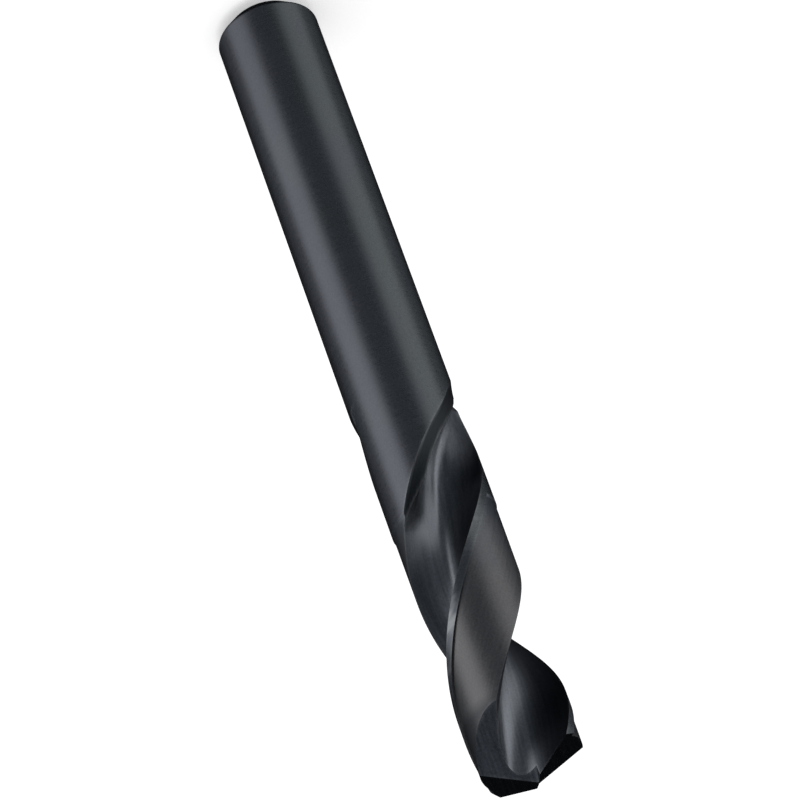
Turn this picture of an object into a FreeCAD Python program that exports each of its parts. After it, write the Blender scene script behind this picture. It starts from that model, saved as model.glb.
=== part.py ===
import FreeCAD, Part
import math
import os

os.makedirs("parts", exist_ok=True)

# Twist drill bit, right-hand cutting, stub length, split point.
# Frame: millimetres, +Z up the axis from the flat shank end (z = 0) to the point.
# "depth" below is the distance from the point down the axis, so z = overall_length - depth.

# Overall sizes
overall_length = 89.0
diameter = 10.0
back_taper = 0.03
flute_length = 43.1
shank_chamfer = 1.5
chamfer_angle = 45.0

# Helix and land
helix_angle = 31.2
lead_edge_phase = 55.1
margin_width = 0.80
clearance_depth_point = 0.26
clearance_depth_root = 0.12
clearance_stop = 14.4
clearance_ramp = 0.45

# Flute section
web_point = 1.60
web_root = 2.20
heel_at_point = 96.0
heel_at_root = 93.0
heel_face_depth = 1.13
runout_length = 16.1

# Point
point_angle = 135.0
lip_direction = 31.3
chisel_edge = 0.20
gash_slope_along = 0.285
gash_slope_across = 1.40
inner_lip_direction = 73.0

radius = diameter / 2.0
shank_radius = radius - back_taper / 2.0
scale = radius / 5.0
outside = radius * 1.30
turn_per_mm = math.degrees(math.tan(math.radians(helix_angle)) / radius)
full_depth_end = flute_length - runout_length
clearance_length = flute_length - clearance_stop
lip_rise = 1.0 / math.tan(math.radians(point_angle / 2.0))
flank_tilt = math.degrees(math.atan(lip_rise / math.cos(math.radians(lip_direction))))


def polar(r, angle):
    a = math.radians(angle)
    return (r * math.cos(a), r * math.sin(a))


def smooth(t):
    t = min(1.0, max(0.0, t))
    return t * t * (3.0 - 2.0 * t)


def place(point, depth):
    """Point of the flute's own turning frame, set at its depth on the drill."""
    turn = math.radians(lead_edge_phase - turn_per_mm * depth)
    x = point[0] * math.cos(turn) - point[1] * math.sin(turn)
    y = point[0] * math.sin(turn) + point[1] * math.cos(turn)
    return FreeCAD.Vector(x, y, overall_length - depth)


def half_web(depth):
    share = min(1.0, max(-0.1, depth / full_depth_end))
    return 0.5 * (web_point + (web_root - web_point) * share)


def runout_share(depth):
    """0 where the flute starts to rise, 1 where it leaves the shank surface."""
    return max(0.0, depth - full_depth_end) / runout_length


def lead_angle(depth):
    """Leading corner: on the helix, then curling in at the flute end."""
    late = max(0.0, min(0.84, runout_share(depth)) - 0.30)
    return math.degrees(math.asin(1.4 * late * late))


def floor_point(depth):
    """Deepest point of the flute, rising on the arc of the run-out."""
    rise = runout_share(depth) / 0.95
    r = half_web(depth) + (radius - half_web(depth)) * rise * rise
    return r, 59.0 - 34.0 * min(0.88, rise) ** 2


def corner_point(depth):
    """Top of the pocket wall, where the heel face or the bevel starts."""
    s = runout_share(depth)
    early = smooth(s / 0.30)
    late = max(0.0, min(0.84, s) - 0.25)
    along = min(1.0, max(0.0, depth / full_depth_end))
    angle = heel_at_point + (heel_at_root - heel_at_point) * along
    angle = angle - 18.6 * early - 82.9 * late * late
    r = radius - heel_face_depth * scale
    r = r + (heel_face_depth - 0.62) * scale * early
    r = r + 0.33 * scale * max(0.0, s - 0.30) + 8.0 * scale * max(0.0, s - 0.84)
    return r, angle


def lead_face(depth, r):
    """Leading face of a drill with straight lips: the angle at radius r."""
    t = half_web(depth)
    near = math.sqrt(max(0.0, r * r - t * t))
    far = math.sqrt(radius * radius - t * t)
    angle = math.degrees(math.asin(min(1.0, t / r)) - math.asin(t / radius))
    return angle - turn_per_mm * lip_rise * (far - near)


def curve(points, shares):
    """Smooth curve through the points, each at its share of the way along.

    Equal shares in all sections give the loft through them few, even patches.
    """
    line = Part.BSplineCurve()
    line.interpolate(Points=points, Parameters=shares)
    return line.toShape()


def pocket_section(depth):
    """Closed outline of the flute, across the axis at the given depth."""
    s = min(0.84, runout_share(depth))
    floor_r, floor_a = floor_point(depth)
    wall_r, wall_a = corner_point(depth)
    corner_a = lead_angle(depth)
    lean = 0.55 * (floor_a - corner_a) * smooth(s / 0.6)
    inner_r = floor_r + 0.14 * (radius - floor_r)
    face = []
    for k in range(6):
        r = outside + (inner_r - outside) * k / 5.0
        inside = max(0.0, radius - r) / max(0.25, radius - inner_r)
        angle = corner_a + lead_face(depth, r) + lean * inside ** 1.3
        face.append(place(polar(r, angle), depth))
    far_a = wall_a + 13.6 * (1.0 - s) ** 3 - 3.0 * s ** 4
    rise_a = floor_a + (0.948 - 0.35 * min(1.0, 2.0 * s)) * (far_a - floor_a)
    rise_r = floor_r + 0.193 * (wall_r - floor_r)
    far_r = floor_r + 0.55 * (wall_r - floor_r)
    pocket = [face[-1]]
    pocket.append(place(polar(floor_r, floor_a), depth))
    pocket.append(place(polar(rise_r, rise_a), depth))
    pocket.append(place(polar(far_r, far_a), depth))
    pocket.append(place(polar(wall_r, wall_a), depth))
    heel_r = wall_r + 0.36 * (outside - wall_r)
    pocket.append(place(polar(heel_r, wall_a - 0.4), depth))
    top = place(polar(outside, wall_a + 1.5), depth)
    pocket.append(top)
    middle = place(polar(outside * 1.12, 0.5 * (corner_a + wall_a)), depth)
    edges = [curve(face, stations(0.0, 1.0, 6))]
    edges.append(curve(pocket, [0.0, 0.14, 0.29, 0.435, 0.64, 0.77, 1.0]))
    edges.append(Part.Arc(top, middle, face[0]).toShape())
    return Part.Wire(edges)


def stations(first, last, count):
    return [first + (last - first) * k / (count - 1.0) for k in range(count)]


def pocket_cutter():
    straight = stations(-1.6, full_depth_end, 8)
    rising = stations(full_depth_end, flute_length + 0.6, 11)
    sections = [pocket_section(d) for d in straight[:-1] + rising]
    return Part.makeLoft(sections, True, False)


def bevel_section(depth):
    """Shallow flat along the heel in the run-out, across the axis."""
    left = flute_length - depth
    sink = 0.17 * min(left, 2.65) + 0.045 * max(0.0, left - 2.65)
    near = radius - sink * scale
    s = runout_share(depth)
    aim = 57.0 - 7.0 * smooth((s - 0.43) / 0.40) + 3.0 * smooth((s - 0.84) / 0.16)
    half = 0.85 * radius
    far = radius * 1.35
    corners = []
    for along, away in ((-half, near), (half, near), (half, far), (-half, far)):
        size = math.hypot(along, away)
        turn = math.degrees(math.atan2(along, away))
        corners.append(place(polar(size, aim + turn), depth))
    return Part.makePolygon(corners + [corners[0]])


def bevel_cutter():
    first = flute_length - 15.6
    sections = [bevel_section(d) for d in stations(first, flute_length + 0.6, 10)]
    return Part.makeLoft(sections, True, False)


def clearance_section(depth):
    """Ring sector that lowers the land behind its margin."""
    share = min(1.0, max(0.0, depth) / clearance_length)
    sink = clearance_depth_point
    sink = sink + (clearance_depth_root - clearance_depth_point) * share
    over = max(0.0, depth - clearance_length + clearance_ramp) / clearance_ramp
    sink = sink - (clearance_depth_root + 0.02) * over
    inner = radius - sink * scale
    margin = math.degrees(margin_width / math.cos(math.radians(helix_angle)) / radius)
    first = -margin
    last = heel_at_point - 180.0 - 10.0
    mid = 0.5 * (first + last)
    low = [place(polar(inner, a), depth) for a in (first, mid, last)]
    high = [place(polar(outside, a), depth) for a in (last, mid, first)]
    edges = [Part.Arc(low[0], low[1], low[2]).toShape()]
    edges.append(Part.LineSegment(low[2], high[0]).toShape())
    edges.append(Part.Arc(high[0], high[1], high[2]).toShape())
    edges.append(Part.LineSegment(high[2], low[0]).toShape())
    return Part.Wire(edges)


def clearance_cutter():
    ramp_start = clearance_length - clearance_ramp
    main = [clearance_section(d) for d in stations(-1.6, ramp_start, 7)]
    ramp = [clearance_section(d) for d in (ramp_start, clearance_length)]
    return [Part.makeLoft(main, True, False), Part.makeLoft(ramp, True, True)]


def flank_cutter():
    """Everything ahead of one flat flank, which slopes back from the point."""
    size = 4.0 * radius
    box = Part.makeBox(size, 2.0 * size, size)
    box.translate(FreeCAD.Vector(0.0, -size, 0.0))
    box.rotate(FreeCAD.Vector(0, 0, 0), FreeCAD.Vector(0, 1, 0), flank_tilt)
    box.translate(FreeCAD.Vector(0, 0, overall_length))
    return box


def gash_cutter():
    """Notch that splits the point: a sloping heel side and an upright lip side."""
    near = chisel_edge / 2.0
    aim = math.radians(inner_lip_direction)
    lip = (math.cos(aim), math.sin(aim))
    fall = gash_slope_across * lip[1] - gash_slope_along * lip[0]
    valley = FreeCAD.Vector(lip[0], lip[1], -fall)
    valley.normalize()
    slope = FreeCAD.Vector(-1.0, 0.0, -gash_slope_along)
    side = slope - valley * slope.dot(valley)
    side.normalize()
    up = FreeCAD.Vector(0, 0, 1) - valley * valley.z
    up.normalize()
    start = FreeCAD.Vector(0, near, overall_length)
    low = start - valley * (0.8 * radius)
    reach = 2.4 * radius
    a = low
    b = low + side * reach
    c = low + side * reach + up * reach
    d = low + up * reach
    face = Part.Face(Part.makePolygon([a, b, c, d, a]))
    return face.extrude(valley * (4.0 * radius))


def half_turn(shape):
    other = shape.copy()
    other.rotate(FreeCAD.Vector(0, 0, 0), FreeCAD.Vector(0, 0, 1), 180.0)
    return other


def blank():
    """Plain round shank with its chamfered end, then the body, widest at the point."""
    inset = shank_chamfer / math.tan(math.radians(chamfer_angle))
    shank_length = overall_length - flute_length
    foot = Part.makeCone(shank_radius - inset, shank_radius, shank_chamfer)
    bar = Part.makeCylinder(shank_radius, shank_length - shank_chamfer)
    bar.translate(FreeCAD.Vector(0, 0, shank_chamfer))
    tapered = Part.makeCone(shank_radius, radius, flute_length)
    tapered.translate(FreeCAD.Vector(0, 0, shank_length))
    return foot.fuse([bar, tapered])


def drill():
    bar = blank()
    for cutter in clearance_cutter() + [bevel_cutter(), pocket_cutter()]:
        bar = bar.cut([cutter, half_turn(cutter)])
    for cutter in [flank_cutter(), gash_cutter()]:
        bar = bar.cut([cutter, half_turn(cutter)])
    return bar


body = drill()
body.exportStep("parts/drill_bit.step")
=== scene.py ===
import math

import bmesh
import bpy
import numpy as np
from mathutils import Matrix, Vector
from mathutils.kdtree import KDTree


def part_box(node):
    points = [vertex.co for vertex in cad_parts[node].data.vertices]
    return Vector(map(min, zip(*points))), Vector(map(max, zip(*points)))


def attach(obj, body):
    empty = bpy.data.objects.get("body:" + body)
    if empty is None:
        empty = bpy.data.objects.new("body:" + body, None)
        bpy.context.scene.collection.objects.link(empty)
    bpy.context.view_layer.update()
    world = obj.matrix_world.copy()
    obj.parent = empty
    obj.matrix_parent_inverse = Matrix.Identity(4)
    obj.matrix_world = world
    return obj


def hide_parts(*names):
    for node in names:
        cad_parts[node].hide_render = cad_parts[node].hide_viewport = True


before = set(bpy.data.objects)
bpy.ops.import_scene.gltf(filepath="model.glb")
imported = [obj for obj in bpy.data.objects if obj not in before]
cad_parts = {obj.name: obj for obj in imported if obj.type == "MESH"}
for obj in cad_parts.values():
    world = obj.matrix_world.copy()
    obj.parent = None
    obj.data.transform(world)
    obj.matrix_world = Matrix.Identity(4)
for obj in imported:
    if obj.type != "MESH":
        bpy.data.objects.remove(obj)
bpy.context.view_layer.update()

# Sizes in millimetres and angles in degrees. "depth" is the distance down the axis from the point.
MM = 0.001
foot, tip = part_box("drill_bit")
LENGTH = (tip.z - foot.z) / MM
RADIUS = 5.0
BACK_TAPER = 0.015
SHANK_RADIUS = RADIUS - BACK_TAPER
FLUTE_LENGTH = 43.1
RUNOUT = 16.1
FULL_DEPTH_END = FLUTE_LENGTH - RUNOUT
CHAMFER = 1.5
CHAMFER_SOFTNESS = 0.35
OUTSIDE = 6.5

# Helix, land and margin
HELIX = 31.2
LEAD_PHASE = 55.1
TURN = math.degrees(math.tan(math.radians(HELIX)) / RADIUS)
MARGIN = math.degrees(0.80 / math.cos(math.radians(HELIX)) / RADIUS)
RELIEF_POINT = 0.26
RELIEF_ROOT = 0.12
RELIEF_END = FLUTE_LENGTH - 14.4
RELIEF_RAMP = 0.45
RELIEF_PAST = 10.0

# Flute section. Angles are counted from the leading corner. In the run-out the floor and the heel
# swing forward and rise, and the heel wall, undercut at the point, opens on its way up the flute.
WEB_POINT = 1.60
WEB_ROOT = 2.20
HEEL_POINT = 96.0
HEEL_ROOT = 93.0
HEEL_DEPTH = 1.13
LIP_RISE = 1.0 / math.tan(math.radians(67.5))
FLOOR_ANGLE = 59.0
FLOOR_SWING = 34.0
FLOOR_OUT = 0.95
HEEL_SWING = 18.6
HEEL_CURL = 82.9
HEEL_RUNOUT_DEPTH = 0.62
HELD_SHARE = 0.84
UNDERCUT = 13.6
WALL_OPENING = 16.6
WALL_CLOSING = 12.0
OPENING_START = 12.0
OPENING_LENGTH = 12.0
FACE_POINTS = 6
POCKET_SHARES = (0.0, 0.14, 0.29, 0.435, 0.64, 0.77, 1.0)

# Flat along the heel in the run-out
HEEL_FLAT_LENGTH = 15.6
HEEL_FLAT_BEND = 2.65
HEEL_FLAT_STEEP = 0.17
HEEL_FLAT_SLIGHT = 0.045
HEEL_FLAT_AIM = 57.0

# Point
FLANK_SLOPE = LIP_RISE / math.cos(math.radians(31.3))
CHISEL_HALF = 0.10
NOTCH_ALONG = 0.285
NOTCH_ACROSS = 1.40
INNER_LIP = 73.0

# Fineness of the surfaces, and how far the tools reach past the work
AROUND = 256
ALONG = 0.2
FACET = 0.25
SHANK_ROWS = 90
ABOVE = 1.0
BEYOND = 0.6


def smooth(t):
    """Soft step from 0 to 1."""
    t = np.clip(t, 0.0, 1.0)
    return t * t * (3.0 - 2.0 * t)


def polar(r, degrees):
    """Points at radius r and an angle, as an array with x and y last."""
    a = np.radians(degrees)
    return np.stack([r * np.cos(a), r * np.sin(a)], -1)


def twist(points, depth):
    """Section points in the turning frame, turned by the helix and set at their depth."""
    turn = np.radians(LEAD_PHASE - TURN * depth)[:, None]
    x = points[..., 0] * np.cos(turn) - points[..., 1] * np.sin(turn)
    y = points[..., 0] * np.sin(turn) + points[..., 1] * np.cos(turn)
    z = np.broadcast_to((LENGTH - depth)[:, None], x.shape)
    return np.stack([x, y, z], -1)


def through(points, shares, per_span):
    """Smooth cubic curve through each row of points, sampled evenly on every span.

    Every point lies at its share of the way. The slopes make the bend run on over every
    inner point, and at both ends follow the cubic through the first four points.
    """
    rows, count = points.shape[:2]
    shares = np.asarray(shares)
    span = np.diff(shares)
    chord = np.diff(points, axis=1) / span[:, None]
    matrix = np.zeros((count, count))
    right = np.zeros((rows, count, 2))
    matrix[0, 0] = matrix[-1, -1] = 1.0
    right[:, 0] = end_slope(chord[:, :3], span[:3])
    right[:, -1] = end_slope(chord[:, ::-1][:, :3], span[::-1][:3])
    for k in range(1, count - 1):
        before, after = span[k - 1], span[k]
        matrix[k, k - 1 : k + 2] = after, 2.0 * (before + after), before
        right[:, k] = 3.0 * (after * chord[:, k - 1] + before * chord[:, k])
    slope = np.linalg.solve(matrix, right)
    t = (np.arange(per_span) / per_span)[:, None]
    p0, p1 = points[:, :-1, None], points[:, 1:, None]
    m0 = (slope[:, :-1] * span[:, None])[:, :, None]
    m1 = (slope[:, 1:] * span[:, None])[:, :, None]
    curve = p0 * (2 * t**3 - 3 * t**2 + 1) + m0 * (t**3 - 2 * t**2 + t)
    curve = curve + p1 * (3 * t**2 - 2 * t**3) + m1 * (t**3 - t**2)
    curve = curve.reshape(rows, -1, 2)
    return np.concatenate([curve, points[:, -1:]], 1)


def end_slope(chord, span):
    """Slope at the first of four points, of the cubic through them."""
    first, second, third = np.cumsum(span)
    bend = (chord[:, 1] - chord[:, 0]) / second
    later = (chord[:, 2] - chord[:, 1]) / (third - first)
    return chord[:, 0] - bend * first + (later - bend) / third * first * second


def half_web(depth):
    """Half the web, which thickens evenly from the point to where the flute starts to rise."""
    share = np.clip(depth / FULL_DEPTH_END, -0.1, 1.0)
    return 0.5 * (WEB_POINT + (WEB_ROOT - WEB_POINT) * share)


def runout_share(depth):
    """0 where the flute starts to rise, 1 where it leaves the shank surface."""
    return np.maximum(0.0, depth - FULL_DEPTH_END) / RUNOUT


def held_share(depth):
    """The run-out share, held from where the section keeps its form."""
    return np.minimum(HELD_SHARE, runout_share(depth))


def lead_angle(depth):
    """Leading corner: on the helix, then curling in with the square of the way into the run-out."""
    late = np.maximum(0.0, held_share(depth) - 0.30)
    return np.degrees(np.arcsin(1.4 * late**2))


def floor_point(depth):
    """Radius and angle of the flute's deepest point, which rises with the square of the run-out."""
    rise = runout_share(depth) / FLOOR_OUT
    web = half_web(depth)
    return web + (RADIUS - web) * rise**2, FLOOR_ANGLE - FLOOR_SWING * np.minimum(0.88, rise) ** 2


def heel_corner(depth):
    """Radius and angle of the top of the pocket wall, where the heel face or the flat starts.

    It follows the helix, then swings forward and comes out towards the shank surface.
    """
    share = runout_share(depth)
    early = smooth(share / 0.30)
    late = np.maximum(0.0, held_share(depth) - 0.25)
    along = np.clip(depth / FULL_DEPTH_END, 0.0, 1.0)
    angle = HEEL_POINT + (HEEL_ROOT - HEEL_POINT) * along
    angle = angle - HEEL_SWING * early - HEEL_CURL * late**2
    r = RADIUS - HEEL_DEPTH + (HEEL_DEPTH - HEEL_RUNOUT_DEPTH) * early
    r = r + 0.33 * np.maximum(0.0, share - 0.30) + 8.0 * np.maximum(0.0, share - HELD_SHARE)
    return r, angle


def lead_points(depth):
    """Points of the leading face, from outside the drill to near the floor.

    At radius r its angle is asin(web / r) - asin(web / R), less the helix's turn over the height
    that a straight lip gains from r to the outside. In the run-out the face leans to the floor.
    """
    floor_r, floor_a = floor_point(depth)
    corner_a = lead_angle(depth)
    lean = 0.55 * (floor_a - corner_a) * smooth(held_share(depth) / 0.6)
    inner_r = floor_r + 0.14 * (RADIUS - floor_r)
    r = OUTSIDE + (inner_r - OUTSIDE)[:, None] * np.linspace(0.0, 1.0, FACE_POINTS)
    web = half_web(depth)[:, None]
    near = np.sqrt(np.maximum(0.0, r**2 - web**2))
    far = np.sqrt(RADIUS**2 - web**2)
    angle = np.degrees(np.arcsin(np.minimum(1.0, web / r)) - np.arcsin(web / RADIUS))
    angle = angle - TURN * LIP_RISE * (far - near) + corner_a[:, None]
    inside = np.maximum(0.0, RADIUS - r) / np.maximum(0.25, RADIUS - inner_r)[:, None]
    return polar(r, angle + lean[:, None] * inside**1.3)


def pocket_points(depth, start):
    """Points from the leading face over the floor and up the heel wall to outside the drill.

    Near the point the wall is undercut. It opens on its way up the flute, and closes and opens
    again in the run-out, which gives its broad flat face there.
    """
    held = held_share(depth)
    floor_r, floor_a = floor_point(depth)
    wall_r, wall_a = heel_corner(depth)
    climb = wall_r - floor_r
    opening = smooth((depth - OPENING_START) / OPENING_LENGTH)
    closing = smooth(held / 0.25) - smooth((held - 0.3) / 0.5)
    far_a = wall_a + UNDERCUT - WALL_OPENING * opening + WALL_CLOSING * closing
    corner = 0.948 - 0.148 * opening - 0.20 * np.minimum(1.0, 2.0 * held)
    points = [
        start,
        polar(floor_r, floor_a),
        polar(floor_r + 0.193 * climb, floor_a + corner * (far_a - floor_a)),
        polar(floor_r + 0.55 * climb, far_a),
        polar(wall_r, wall_a),
        polar(wall_r + 0.36 * (OUTSIDE - wall_r), wall_a - 0.4),
        polar(np.full(depth.shape, OUTSIDE), wall_a + 1.5),
    ]
    return np.stack(points, 1)


def flute_loop(depth):
    """Closed outline of one flute at each depth: leading face, floor, heel wall, then the top."""
    face = lead_points(depth)
    pocket = pocket_points(depth, face[:, -1])
    middle = 0.5 * (lead_angle(depth) + heel_corner(depth)[1])
    top = polar(np.full(depth.shape, OUTSIDE * 1.12), middle)
    lead = through(face, np.linspace(0.0, 1.0, FACE_POINTS), 7)[:, :-1]
    rest = through(pocket, POCKET_SHARES, 14)
    return np.concatenate([lead, rest, top[:, None]], 1)


def flute_tool():
    """One flute: its outline carried down the helix from above the point to the run-out's end."""
    depth = np.arange(-ABOVE, FLUTE_LENGTH + BEYOND, ALONG)
    return twist(flute_loop(depth), depth)


def relief_tool():
    """The strip that lowers a land behind its margin: a sector between two radii.

    Its sink falls evenly from the point to the end, where it rises over a short ramp.
    """
    main = np.arange(-ABOVE, RELIEF_END - RELIEF_RAMP, 2.0 * ALONG)
    depth = np.concatenate([main, RELIEF_END - RELIEF_RAMP * np.linspace(1.0, 0.0, 4)])
    sink = RELIEF_POINT + (RELIEF_ROOT - RELIEF_POINT) * np.clip(depth / RELIEF_END, 0.0, 1.0)
    over = np.maximum(0.0, depth - RELIEF_END + RELIEF_RAMP) / RELIEF_RAMP
    sink = sink - (RELIEF_ROOT + 0.02) * over
    angle = np.linspace(-MARGIN, HEEL_POINT - 180.0 - RELIEF_PAST, 60)
    inner = polar((RADIUS - sink)[:, None] + 0.0 * angle, angle)
    outer = polar(OUTSIDE + 0.0 * inner[..., 0], angle[::-1])
    return twist(np.concatenate([inner, outer], 1), depth)


def heel_tool():
    """The flat along the heel in the run-out: a straight cut that sinks towards the point.

    From the run-out's end it sinks steeply as far as a bend, and then slightly.
    """
    depth = np.arange(FLUTE_LENGTH - HEEL_FLAT_LENGTH, FLUTE_LENGTH + BEYOND, ALONG)
    left = FLUTE_LENGTH - depth
    near = RADIUS - HEEL_FLAT_STEEP * np.minimum(left, HEEL_FLAT_BEND)
    near = near - HEEL_FLAT_SLIGHT * np.maximum(0.0, left - HEEL_FLAT_BEND)
    share = runout_share(depth)
    aim = HEEL_FLAT_AIM - 7.0 * smooth((share - 0.43) / 0.40)
    aim = aim + 3.0 * smooth((share - HELD_SHARE) / (1.0 - HELD_SHARE))
    half = 0.85 * RADIUS
    flat = np.arange(-half, half + FACET, FACET)
    across = np.concatenate([flat, [half, -half]])
    away = np.broadcast_to(near[:, None], (len(depth), len(flat)))
    away = np.pad(away, ((0, 0), (0, 2)), constant_values=1.35 * RADIUS)
    turn = np.radians(aim)[:, None]
    x = away * np.cos(turn) - across * np.sin(turn)
    y = away * np.sin(turn) + across * np.cos(turn)
    return twist(np.stack([x, y], -1), depth)


def blank_grid():
    """The round blank: a profile of radius and height turned about the axis.

    The chamfer at 45 degrees meets the end and the shank in two small arcs.
    """
    turn = np.radians(np.linspace(0.0, 45.0, 5))
    soft = CHAMFER_SOFTNESS
    shift = soft * math.tan(math.radians(22.5))
    foot_r = SHANK_RADIUS - CHAMFER - shift + soft * np.sin(turn)
    foot_z = soft * (1.0 - np.cos(turn))
    neck_r = SHANK_RADIUS - soft + soft * np.sin(turn + math.pi / 4.0)
    neck_z = CHAMFER + shift - soft * np.cos(turn + math.pi / 4.0)
    body_z = np.arange(LENGTH - FLUTE_LENGTH, LENGTH + 0.4, 2.0 * ALONG)
    body_r = SHANK_RADIUS + BACK_TAPER * (body_z - body_z[0]) / FLUTE_LENGTH
    shank_z = np.linspace(CHAMFER + 2.0 * shift, LENGTH - FLUTE_LENGTH, SHANK_ROWS)[:-1]
    shank_r = np.full(shank_z.shape, SHANK_RADIUS)
    r = np.concatenate([[0.0], foot_r, neck_r, shank_r, body_r, [0.0]])
    z = np.concatenate([[0.0], foot_z, neck_z, shank_z, body_z, [body_z[-1]]])
    angle = 2.0 * math.pi * np.arange(AROUND) / AROUND
    x = r[:, None] * np.cos(angle)
    y = r[:, None] * np.sin(angle)
    return np.stack([x, y, np.broadcast_to(z[:, None], x.shape)], -1)


def in_steps(corners, fine):
    """The ring of corners, with points every FACET along its first edges, as many as fine says."""
    ring = []
    for number, start in enumerate(corners):
        way = corners[(number + 1) % len(corners)] - start
        count = round(np.linalg.norm(way) / FACET) if number < fine else 1
        ring.append(start + way * np.arange(count)[:, None] / count)
    return np.concatenate(ring)


def flank_tool():
    """Everything above the two flat flanks: a roof z = L - slope |x|, carried along Y."""
    reach = OUTSIDE
    x = np.array([-reach, 0.0, reach, reach, -reach])
    z = LENGTH - FLANK_SLOPE * np.array([reach, 0.0, reach, -2.0, -2.0])
    ring = in_steps(np.stack([x, 0.0 * x, z], 1), 2)
    along = np.arange(-reach, reach + FACET, FACET)
    return ring + along[:, None, None] * np.array([0.0, 1.0, 0.0])


def notch_tool():
    """The wedge that splits the point: a sloping heel side and an upright lip side.

    Its section is carried along the valley where the two sides meet.
    """
    reach = 8.0
    aim = math.radians(INNER_LIP)
    lip = np.array([math.cos(aim), math.sin(aim)])
    valley = np.array([lip[0], lip[1], NOTCH_ALONG * lip[0] - NOTCH_ACROSS * lip[1]])
    valley = valley / np.linalg.norm(valley)
    side = np.array([-1.0, 0.0, -NOTCH_ALONG])
    side = side - valley * (side @ valley)
    side = reach * side / np.linalg.norm(side)
    up = np.array([0.0, 0.0, 1.0]) - valley * valley[2]
    up = reach * up / np.linalg.norm(up)
    start = np.array([0.0, CHISEL_HALF, LENGTH])
    ring = in_steps(np.array([start + up, start, start + side, start + side + up]), 2)
    along = np.arange(-4.0, 12.0, FACET)
    return ring + along[:, None, None] * valley


def skin(grid, closed_ends):
    """Triangles between the rows of a grid whose columns close into a ring, and end faces."""
    rows, cols = grid.shape[:2]
    index = np.arange(rows * cols).reshape(rows, cols)
    a, b = index[:-1], np.roll(index[:-1], -1, 1)
    c, d = np.roll(index[1:], -1, 1), index[1:]
    faces = np.concatenate([np.stack([a, b, c], -1), np.stack([a, c, d], -1)]).reshape(-1, 3)
    faces = faces.tolist()
    if closed_ends:
        faces.append(index[0, ::-1].tolist())
        faces.append(index[-1].tolist())
    return faces


def solid(name, grids, material, closed_ends=True):
    """A closed mesh of one or more skins, its faces outwards, with one finish."""
    mesh = bpy.data.meshes.new(name)
    points, faces = [], []
    for grid in grids:
        start = len(points)
        points += (grid.reshape(-1, 3) * MM).tolist()
        faces += [[k + start for k in face] for face in skin(grid, closed_ends)]
    mesh.from_pydata(points, [], faces)
    work = bmesh.new()
    work.from_mesh(mesh)
    bmesh.ops.remove_doubles(work, verts=work.verts, dist=1e-8)
    bmesh.ops.triangulate(work, faces=[f for f in work.faces if len(f.verts) > 4])
    bmesh.ops.recalc_face_normals(work, faces=work.faces)
    work.to_mesh(mesh)
    work.free()
    mesh.materials.append(material)
    piece = bpy.data.objects.new(name, mesh)
    bpy.context.scene.collection.objects.link(piece)
    return piece


def pair(grid):
    """The grid and its copy half a turn on."""
    return [grid, grid * np.array([-1.0, -1.0, 1.0])]


def grind(piece, tool):
    """Takes the tool's space off the piece, leaving the tool's finish on the cut."""
    cut = piece.modifiers.new("grind", "BOOLEAN")
    cut.operation = "DIFFERENCE"
    cut.solver = "EXACT"
    cut.material_mode = "TRANSFER"
    cut.object = tool
    bpy.context.view_layer.update()
    view = bpy.context.evaluated_depsgraph_get()
    shape = bpy.data.meshes.new_from_object(piece.evaluated_get(view))
    piece.modifiers.clear()
    piece.data = shape
    bpy.data.objects.remove(tool)


def cleared(owner):
    """The owner's node tree, emptied."""
    owner.use_nodes = True
    owner.node_tree.nodes.clear()
    return owner.node_tree


class Finish:
    """A small help to write one finish: adds nodes and links a value or another node's output."""

    def __init__(self, name):
        self.material = bpy.data.materials.new(name)
        self.tree = cleared(self.material)

    def add(self, kind, inputs=(), out=0, **settings):
        node = self.tree.nodes.new("ShaderNode" + kind)
        for key, value in settings.items():
            setattr(node, key, value)
        for key, value in dict(inputs).items():
            if isinstance(value, bpy.types.NodeSocket):
                self.tree.links.new(value, node.inputs[key])
            else:
                node.inputs[key].default_value = value
        return node.outputs[out] if node.outputs else None

    def plus(self, one, other):
        return self.add("Math", {0: one, 1: other}, operation="ADD")

    def times(self, one, other):
        return self.add("Math", {0: one, 1: other}, operation="MULTIPLY")

    def part(self, vector, axis):
        """One of a vector's three numbers."""
        return self.add("SeparateXYZ", {0: vector}, out="XYZ".index(axis))

    def scaled(self, value, start, end, first=0.0, last=1.0):
        """first where the value is at start or before, last at end or past it, and even between."""
        return self.add("MapRange", {"Value": value, 1: start, 2: end, 3: first, 4: last})

    def noise(self, place, stretch, detail=3.0):
        """Noise whose grain is stretched: stretch gives how many grains there are to a metre."""
        vector = self.add("VectorMath", {0: place, 1: stretch}, operation="MULTIPLY")
        keys = {"Vector": vector, "Scale": 1.0, "Detail": detail, "Roughness": 0.55}
        return self.add("TexNoise", keys)

    def mixed(self, share, one, other):
        """The first colour at share 0 and the other at share 1."""
        keys = {"Factor": share, 6: one, 7: other}
        return self.add("Mix", keys, out=2, data_type="RGBA")


# Colours of the oxide film, of the steel under it, of painted shade and of the studio's light
GREEN = (0.102, 0.115, 0.120, 1.0)
VIOLET = (0.107, 0.113, 0.131, 1.0)
BLUE = (0.120, 0.132, 0.150, 1.0)
SLATE = (0.103, 0.115, 0.131, 1.0)
WARM = (0.136, 0.136, 0.140, 1.0)
STEEL = (0.158, 0.171, 0.189, 1.0)
# DARK_PAINTED_SHADE is painted shade on the point's flanks and notch.
DARK_PAINTED_SHADE = (0.068, 0.074, 0.086, 1.0)
# BLACK is painted shade on the flutes; it also darkens the lands near the point.
BLACK = (0.024, 0.027, 0.034, 1.0)
# HEEL_PAINTED_SHADE is painted shade on the heel flat.
HEEL_PAINTED_SHADE = (0.026, 0.030, 0.034, 1.0)
# BARE_AND_GLINT is bare steel on rubbed edges, and partly a painted highlight along the edges.
BARE_AND_GLINT = (0.27, 0.28, 0.29, 1.0)
COOL = (0.92, 1.00, 1.13, 1.0)
WHITE = (1.0, 1.0, 1.0, 1.0)

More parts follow.
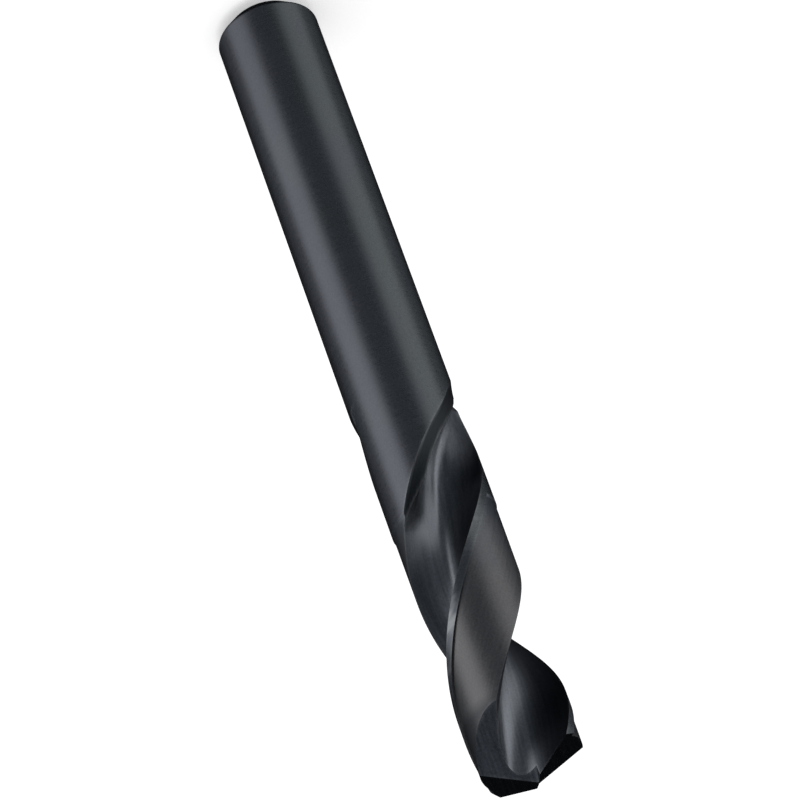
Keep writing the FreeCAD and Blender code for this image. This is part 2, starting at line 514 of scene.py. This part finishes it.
# Where the tints change: the start and end of a height or radius in metres, of the share that
# leading_side gives, or for MARGIN_RUB of the noise. Two more numbers say how strong the tint is
# at either end.
TINT_MIDDLE = (0.0, 0.0, 0.066)
# The LEAD_ and HEEL_ values place painted shade on the flute's leading face and heel wall.
LEAD_SHADE = (0.42, 0.95)
LEAD_FADE = (0.0485, 0.0545, 0.60, 1.0)
HEEL_RADIUS = (0.0026, 0.0038)
HEEL_HEIGHT = (0.0605, 0.0660)
HEEL_SIDE = (0.32, 0.15)
HEEL_SHADE = 0.55
BLUED_HEIGHT = (0.0812, 0.0824, 0.0, 0.55)
MARGIN_HEIGHT = (0.0625, 0.0645)
MARGIN_RUB = (0.46, 0.60, 0.0, 0.75)


def turning_frame(f, place):
    """The place as the helix sees it: X through the lead corner, lines along Z along the flute.

    It is turned about the axis by TURN times the depth, less the lead corner's angle.
    """
    rate = math.radians(TURN) / MM
    start = math.radians(TURN * LENGTH - LEAD_PHASE)
    back = f.plus(f.times(f.part(place, "Z"), -rate), start)
    return f.add("VectorRotate", {"Vector": place, "Angle": back}, rotation_type="Z_AXIS")


def leading_side(f, turned):
    """1 on the leading face of a flute and 0 on its heel side, from the angle round the axis.

    The share is 1/2 + cos(2 (angle + 15 deg)) / 2, the same for both flutes.
    """
    x, y = f.part(turned, "X"), f.part(turned, "Y")
    angle = f.add("Math", {0: y, 1: x}, operation="ARCTAN2")
    doubled = f.times(f.plus(angle, math.radians(15.0)), 2.0)
    return f.scaled(f.add("Math", {0: doubled}, operation="COSINE"), -1.0, 1.0)


def flute_painted_shade(f, place, turned, tint):
    """Painted shade on the flute's tint: blacker on the leading face and high on the heel wall above
    the run-out.
    """
    side = leading_side(f, turned)
    height = f.part(place, "Z")
    lead = f.times(f.scaled(side, *LEAD_SHADE), f.scaled(height, *LEAD_FADE))
    tint = f.mixed(lead, tint, BLACK)
    flat = f.add("VectorMath", {0: place, 1: (1.0, 1.0, 0.0)}, operation="MULTIPLY")
    radius = f.add("VectorMath", {0: flat}, out=1, operation="LENGTH")
    heel = f.times(f.scaled(radius, *HEEL_RADIUS), f.scaled(height, *HEEL_HEIGHT))
    heel = f.times(heel, f.scaled(side, *HEEL_SIDE))
    return f.mixed(f.times(heel, HEEL_SHADE), tint, BLACK)


def land_shade(f, place, turned, tint):
    """The land's tint, darker over the last millimetres before the point."""
    return f.mixed(f.scaled(f.part(place, "Z"), *BLUED_HEIGHT), tint, BLACK)


def margin_rub(f, place, turned):
    """Bare patches on the margins, which rub in the hole: soft noise above the relief's end."""
    patches = f.noise(turned, (300.0, 300.0, 420.0), 2.0)
    height = f.scaled(f.part(place, "Z"), *MARGIN_HEIGHT)
    return f.times(f.scaled(patches, *MARGIN_RUB), height)


def oxide_steel(name, colours, lines, roughness, helical=False, depth=0.3, wear_and_glint=0.4,
                drift=(0.0, 0.0, 0.0), shade=None, rub=None):
    """Black oxide over ground steel: soft tints, fine grain, grinding lines, and rubbed edges that
    carry a painted highlight too.

    lines says how many grinding lines there are to a metre each way, and drift how fast the tint
    goes over from the first colour to the second. shade and rub add what one surface alone has.
    """
    f = Finish(name)
    place = f.add("TexCoord", out=3)
    turned = turning_frame(f, place) if helical or rub else place
    middle = f.add("VectorMath", {0: place, 1: TINT_MIDDLE}, operation="SUBTRACT")
    shift = f.add("VectorMath", {0: middle, 1: drift}, out=1, operation="DOT_PRODUCT")
    cloud = f.plus(f.noise(place, (210.0, 210.0, 90.0), 2.0), shift)
    grain = f.noise(place, (5200.0, 5200.0, 5200.0), 2.0)
    line = f.noise(turned if helical else place, lines, 3.0)
    patch = f.noise(turned, tuple(k * 0.18 for k in lines), 2.0)

    tint = f.mixed(f.scaled(cloud, 0.30, 0.70), *colours)
    if shade:
        tint = shade(f, place, turned, tint)
    light = f.scaled(line, 0.3, 0.7, 1.0 - depth / 2.0, 1.0 + depth / 2.0)
    light = f.times(f.scaled(grain, 0.25, 0.75, 0.84, 1.16), light)
    film = f.add("VectorMath", {0: tint, "Scale": light}, operation="SCALE")
    # Near sharp edges the colour goes towards bare steel: partly real wear, partly a painted highlight
    # along the edges.
    edge = f.add("Attribute", out=2, attribute_name="edge")
    bare_and_glint = f.times(edge, f.scaled(patch, 0.32, 0.62, 0.04, wear_and_glint))
    if rub:
        bare_and_glint = f.add("Math", {0: bare_and_glint, 1: rub(f, place, turned)}, operation="MAXIMUM")

    rough = f.plus(f.scaled(grain, 0.2, 0.8, -0.05, 0.05), f.scaled(line, 0.3, 0.7, -0.04, 0.04))
    rough = f.plus(rough, f.scaled(cloud, 0.35, 0.65, roughness - 0.02, roughness + 0.02))
    height = f.plus(f.times(line, depth), f.times(grain, 0.10))
    surface = {
        "Base Color": f.mixed(bare_and_glint, film, BARE_AND_GLINT),
        "Metallic": 1.0,
        "Roughness": rough,
        "Normal": f.add("Bump", {"Height": height, "Strength": 0.35, "Distance": 0.03 * MM}),
    }
    f.add("OutputMaterial", {"Surface": f.add("BsdfPrincipled", surface)})
    return f.material


def shank_finish():
    """Ground round between centres, so the lines run round the shank and the margins."""
    lines = (160.0, 160.0, 9000.0)
    return oxide_steel("shank_ground", (GREEN, VIOLET), lines, 0.31, depth=0.12,
                       drift=(45.0, 0.0, 0.0), rub=margin_rub)


def land_finish():
    """Relieved land: a warmer, slightly duller grey with lines along the helix."""
    lines = (3800.0, 3800.0, 120.0)
    return oxide_steel("land_relieved", (SLATE, WARM), lines, 0.38, helical=True, depth=0.16,
                       wear_and_glint=0.2, drift=(0.0, 0.0, 60.0), shade=land_shade)


def heel_finish():
    """Heel flat beside the flute's end, dull, and dark from painted shade."""
    lines = (3000.0, 3000.0, 150.0)
    return oxide_steel("heel_flat", (HEEL_PAINTED_SHADE, HEEL_PAINTED_SHADE), lines, 0.50, helical=True)


def flute_finish():
    """Ground flute, with the wheel's lines along the helix and painted shade on the leading face."""
    lines = (4200.0, 4200.0, 110.0)
    return oxide_steel("flute_ground", (STEEL, STEEL), lines, 0.39, helical=True, shade=flute_painted_shade)


def flank_finish():
    """Point flanks, ground straight across from the lip, with painted shade in their dark tint."""
    return oxide_steel("point_flank", (DARK_PAINTED_SHADE, DARK_PAINTED_SHADE), (5200.0, 260.0, 260.0), 0.28)


def notch_finish():
    """Web notch, with steep straight wheel lines, and painted shade in its darker tint."""
    return oxide_steel("web_notch", (DARK_PAINTED_SHADE, BLUE), (4200.0, 300.0, 300.0), 0.30, wear_and_glint=0.6)


def edge_nearness(mesh, reach=0.10 * MM):
    """1 on the sharp edges and falling to 0 away from them, kept for the finishes to read.

    Nearness is exp(-(distance / reach)^2), with the distance to points set along the edges.
    """
    count = len(mesh.vertices)
    points = np.zeros(count * 3)
    mesh.vertices.foreach_get("co", points)
    points = points.reshape(-1, 3)
    ends = np.zeros(len(mesh.edges) * 2, int)
    mesh.edges.foreach_get("vertices", ends)
    sharp = np.zeros(len(mesh.edges), bool)
    mesh.attributes["sharp_edge"].data.foreach_get("value", sharp)
    ends = ends.reshape(-1, 2)[sharp]
    share = np.linspace(0.0, 1.0, 5)[None, :, None]
    start, end = points[ends[:, 0], None], points[ends[:, 1], None]
    along = (start + (end - start) * share).reshape(-1, 3)
    tree = KDTree(len(along))
    for number, point in enumerate(along):
        tree.insert(point, number)
    tree.balance()
    nearest = np.array([tree.find(point)[2] for point in points])
    kept = mesh.attributes.new("edge", "FLOAT", "POINT")
    kept.data.foreach_set("value", np.exp(-((nearest / reach) ** 2)).astype(np.float32))


def drill_bit():
    """The drill: a round blank, ground by its tools in the order of the real work."""
    piece = solid("ground_drill", [blank_grid()], shank_finish(), closed_ends=False)
    grind(piece, solid("relief", pair(relief_tool()), land_finish()))
    grind(piece, solid("heel", pair(heel_tool()), heel_finish()))
    grind(piece, solid("flute", pair(flute_tool()), flute_finish()))
    grind(piece, solid("flanks", [flank_tool()], flank_finish()))
    notch = notch_finish()
    for grid in pair(notch_tool()):
        grind(piece, solid("notch", [grid], notch))
    mesh = piece.data
    mesh.polygons.foreach_set("use_smooth", [True] * len(mesh.polygons))
    mesh.set_sharp_from_angle(angle=math.radians(28.0))
    edge_nearness(mesh)
    return piece


# The photograph's camera: its focal length and picture width in pixels, its place in
# millimetres, and the ways in which its right, up and back point
FOCAL_PIXELS = 5157.405
IMAGE_PIXELS = 800.0
EYE = Vector((0.025, -398.106, 306.43))
EYE_RIGHT = Vector((-0.94000, 0.18661, 0.28562))
EYE_UP = Vector((-0.34117, -0.51414, -0.78693))
EYE_BACK = Vector((0.0, -0.83716, 0.54696))


def camera():
    """The photograph's view: from above the point's side, rolled so that the point is low."""
    lens = bpy.data.cameras.new("camera")
    lens.sensor_width = 36.0
    lens.lens = lens.sensor_width * FOCAL_PIXELS / IMAGE_PIXELS
    lens.clip_start = 0.01
    lens.clip_end = 20.0
    eye = bpy.data.objects.new("camera", lens)
    turn = Matrix((EYE_RIGHT, EYE_UP, EYE_BACK)).transposed().to_4x4()
    eye.matrix_world = Matrix.Translation(EYE * MM) @ turn
    bpy.context.scene.collection.objects.link(eye)
    bpy.context.scene.camera = eye


def seen_or_mirrored(tree):
    """1 for a ray from the camera, a mirror image or glass, and 0 for light on a dull surface."""
    path = tree.nodes.new("ShaderNodeLightPath")
    share = path.outputs["Is Camera Ray"]
    for name in ("Is Glossy Ray", "Is Transmission Ray"):
        either = tree.nodes.new("ShaderNodeMath")
        either.operation = "MAXIMUM"
        tree.links.new(share, either.inputs[0])
        tree.links.new(path.outputs[name], either.inputs[1])
        share = either.outputs[0]
    return share


def studio_world():
    """White where it is seen or mirrored, a soft grey where it lights."""
    sky = bpy.data.worlds.new("studio")
    bpy.context.scene.world = sky
    tree = cleared(sky)
    mix = tree.nodes.new("ShaderNodeMixShader")
    tree.links.new(seen_or_mirrored(tree), mix.inputs[0])
    for slot, level in ((1, 0.70), (2, 1.0)):
        sheet = tree.nodes.new("ShaderNodeBackground")
        sheet.inputs[0].default_value = (level, level, level, 1.0)
        tree.links.new(sheet.outputs[0], mix.inputs[slot])
    out = tree.nodes.new("ShaderNodeOutputWorld")
    tree.links.new(mix.outputs[0], out.inputs[0])


TABLE = (0.80, 0.80, 0.80, 1.0)
TABLE_GLOW = 0.40
TABLE_REACH = 3.0


def floor():
    """A wide pale table, which takes the drill's soft shadow and is white where nothing shades it.

    The steel mirrors the studio's cloths and soft boxes in its place.
    """
    f = Finish("pale_table")
    seen = seen_or_mirrored(f.tree)
    dull = f.add("BsdfDiffuse", {0: TABLE})
    glow = f.add("Emission", {0: WHITE, 1: f.times(seen, TABLE_GLOW)})
    f.add("OutputMaterial", {"Surface": f.add("AddShader", {0: dull, 1: glow})})
    corners = [(TABLE_REACH * x, TABLE_REACH * y, 0.0) for x, y in ((-1, -1), (1, -1), (1, 1), (-1, 1))]
    mesh = bpy.data.meshes.new("table")
    mesh.from_pydata(corners, [], [(0, 1, 2, 3)])
    mesh.materials.append(f.material)
    table = bpy.data.objects.new("table", mesh)
    table.visible_glossy = False
    bpy.context.scene.collection.objects.link(table)


# The soft boxes among dark cloths, as the steel mirrors them. Bearings run from +X to +Y.
# Each row: middle bearing, half width, soft edge, lowest and highest elevation, brightness.
# RIM is the soft edge above and below them.
SOFT_BOXES = (
    (20.0, 10.0, 50.0, -50.0, 0.0, 0.24),
    (155.0, 10.0, 50.0, -50.0, -10.0, 0.24),
    (-28.0, 27.0, 24.0, -43.0, 6.0, 1.40),
    (-156.0, 28.0, 28.0, -45.0, -17.0, 0.90),
    (-170.0, 34.0, 20.0, -16.0, 15.0, 1.60),
)
RIM = 10.0
CLOTH_FRONT = 0.20
CLOTH_BACK = 0.012


def studio_level(bearing, elevation):
    """Brightness of the studio in a direction: dark cloth, paler in front, with soft boxes.

    The cloth goes with the cosine of the bearing from the front and fades below. Each box is the
    product of a soft step in bearing and two in elevation, laid over what is there.
    """
    front = 0.5 + 0.5 * np.cos(np.radians(bearing + 90.0))
    level = CLOTH_BACK + (CLOTH_FRONT - CLOTH_BACK) * smooth(front / 0.7)
    level = level * (1.0 - 0.75 * smooth((-42.0 - elevation) / 26.0))
    for middle, half, edge, lowest, highest, bright in SOFT_BOXES:
        away = np.abs((bearing - middle + 180.0) % 360.0 - 180.0)
        share = 1.0 - smooth((away - half) / edge + 0.5)
        share = share * (1.0 - smooth((elevation - highest) / RIM + 0.5))
        share = share * smooth((elevation - lowest) / RIM + 0.5)
        level = level + (bright - level) * share
    return level


def studio_tent():
    """The soft boxes and dark cloths: a sphere about the drill, seen only by mirrors."""
    f = Finish("studio_tent")
    level = f.add("Attribute", out=2, attribute_name="level")
    colour = f.mixed(f.scaled(level, 0.05, 0.60), COOL, WHITE)
    f.add("OutputMaterial", {"Surface": f.add("Emission", {0: colour, 1: level})})
    f.material.cycles.emission_sampling = "NONE"
    bearing = np.arange(-180.0, 180.0, 2.5)
    elevation = np.arange(-88.0, 90.0, 2.0)[:, None]
    reach = 1.2
    tilt, turn = np.radians(elevation), np.radians(bearing)
    across = reach * np.cos(tilt)
    height = LENGTH * MM / 2.0 + reach * np.sin(tilt) + 0.0 * turn
    grid = np.stack([across * np.cos(turn), across * np.sin(turn), height], -1)
    mesh = bpy.data.meshes.new("studio_tent")
    mesh.from_pydata(grid.reshape(-1, 3).tolist(), [], skin(grid, False))
    kept = mesh.attributes.new("level", "FLOAT", "POINT")
    level = studio_level(bearing, elevation)
    kept.data.foreach_set("value", level.reshape(-1).astype(np.float32))
    mesh.materials.append(f.material)
    tent = bpy.data.objects.new("studio_tent", mesh)
    tent.visible_camera = False
    tent.visible_diffuse = False
    tent.visible_transmission = False
    tent.visible_volume_scatter = False
    tent.visible_shadow = False
    bpy.context.scene.collection.objects.link(tent)


def lamp():
    """One large soft lamp overhead for the drill's shadow on the table."""
    light = bpy.data.lights.new("overhead", "AREA")
    light.shape = "DISK"
    light.size = 1.6
    light.energy = 12.0
    lamp_object = bpy.data.objects.new("overhead", light)
    lamp_object.location = (0.5, -0.3, 1.9)
    lamp_object.rotation_euler = (math.radians(-9.0), math.radians(14.0), 0.0)
    bpy.context.scene.collection.objects.link(lamp_object)


piece = drill_bit()
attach(piece, "root")
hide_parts("drill_bit")
camera()
studio_world()
floor()
studio_tent()
lamp()
view = bpy.context.scene.view_settings
view.view_transform = "Standard"
